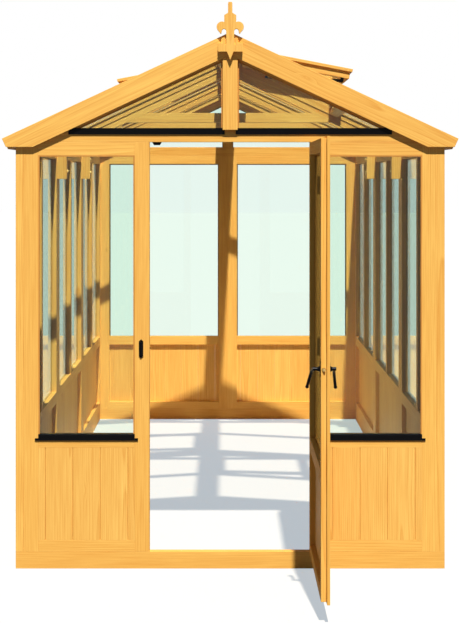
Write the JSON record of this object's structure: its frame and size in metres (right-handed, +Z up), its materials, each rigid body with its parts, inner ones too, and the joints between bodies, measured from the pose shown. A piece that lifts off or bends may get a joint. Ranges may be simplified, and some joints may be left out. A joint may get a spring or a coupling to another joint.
{
  "type": "greenhouse",
  "caption": "Walk-in timber greenhouse with boarded and glazed panels, a glazed pitched roof on trusses, a hinged half-glazed door, opening roof vents with stays and a finial.",
  "frame": {"origin": "middle of the underside of the front threshold, on the ground", "axes": "+X to the right when facing the door from outside, +Y into the house along its ridge, +Z up"},
  "size_m": [1.989, 4.425, 2.4692],
  "materials": {
    "timber": "honey-coloured stained softwood, satin",
    "boards": "honey-coloured matchboards, satin",
    "beads": "honey-coloured glazing beads, satin",
    "glass": "clear float glass with a faint green edge",
    "black_metal": "black, soft gloss",
    "steel": "zinc-plated steel"
  },
  "bodies": {
    "house": {"front_threshold": "timber", "base_rails": "timber", "front_panel_left": "timber", "front_panel_right": "timber", "left_panel_1": "timber", "left_panel_2": "timber", "left_panel_3": "timber", "right_panel_1": "timber", "right_panel_2": "timber", "right_panel_3": "timber", "back_panel_left": "timber", "back_panel_right": "timber", "front_gable": "timber", "back_gable": "timber", "front_boards": "boards", "left_boards": "boards", "right_boards": "boards", "back_boards": "boards", "front_glass": "glass", "side_glass": "glass", "back_glass": "glass", "roof_glass": "glass", "black_sills": "black_metal", "glazing_beads": "beads", "front_truss": "timber", "back_truss": "timber", "truss_bolts": "steel", "ridge_board": "timber", "ridge_capping": "timber", "left_roof_1": "timber", "left_roof_2": "timber", "left_roof_3": "timber", "right_roof_1": "timber", "right_roof_2": "timber", "right_roof_3": "timber", "front_barge_boards": "timber", "back_barge_boards": "timber", "finial": "timber", "door_keeps": "black_metal", "door_hinge_leaves": "black_metal", "vent_brackets": "black_metal"},
    "door": {"door_frame": "timber", "door_facing": "timber", "door_boards": "boards", "door_glass": "glass", "door_beads": "beads", "door_hinge_flaps": "black_metal", "latch_case": "steel", "handle_plates": "black_metal"},
    "door_handle": {"door_handle": "black_metal"},
    "latch": {"latch_bolt": "steel"},
    "left_vent": {"left_vent_sash": "timber", "left_vent_glass": "glass", "left_vent_fittings": "black_metal"},
    "right_vent": {"right_vent_sash": "timber", "right_vent_glass": "glass", "right_vent_fittings": "black_metal"},
    "left_stay": {"left_vent_stay": "black_metal"},
    "right_stay": {"right_vent_stay": "black_metal"}
  },
  "joints": [
    {"name": "door_hinge", "type": "hinge", "parent": "house", "child": "door", "pos_m": [0.373, -0.025, 0.96], "axis": [0, 0, 1], "range_deg": [-90, 70]},
    {"name": "handle_turn", "type": "hinge", "parent": "door", "child": "door_handle", "pos_m": [0.3545, -0.722, 0.972], "axis": [-1, 0, 0], "range_deg": [0, 50], "stiffness_Nm_per_rad": 0.5, "springref_deg": -45.84},
    {"name": "latch_slide", "type": "slide", "parent": "door", "child": "latch", "axis": [0, 1, 0], "range_m": [0, 0.01]},
    {"name": "left_vent_hinge", "type": "hinge", "parent": "house", "child": "left_vent", "pos_m": [-0.0367, 1.5295, 2.32807], "axis": [0, 1, 0], "range_deg": [-14.1, 6]},
    {"name": "right_vent_hinge", "type": "hinge", "parent": "house", "child": "right_vent", "pos_m": [0.0367, 0.8765, 2.32807], "axis": [0, -1, 0], "range_deg": [-14.1, 6]},
    {"name": "left_stay_pivot", "type": "hinge", "parent": "left_vent", "child": "left_stay", "pos_m": [-0.54309, 1.2803, 2.17607], "axis": [0, 1, 0], "range_deg": [-7.9, 3.4]},
    {"name": "right_stay_pivot", "type": "hinge", "parent": "right_vent", "child": "right_stay", "pos_m": [0.54309, 0.6273, 2.17607], "axis": [0, -1, 0], "range_deg": [-7.9, 3.4]}
  ],
  "couplings": [
    {"joint": "latch_slide", "follows": "handle_turn", "m_per_rad": 0.01145},
    {"joint": "left_stay_pivot", "follows": "left_vent_hinge", "ratio": 0.56},
    {"joint": "right_stay_pivot", "follows": "right_vent_hinge", "ratio": 0.56}
  ]
}
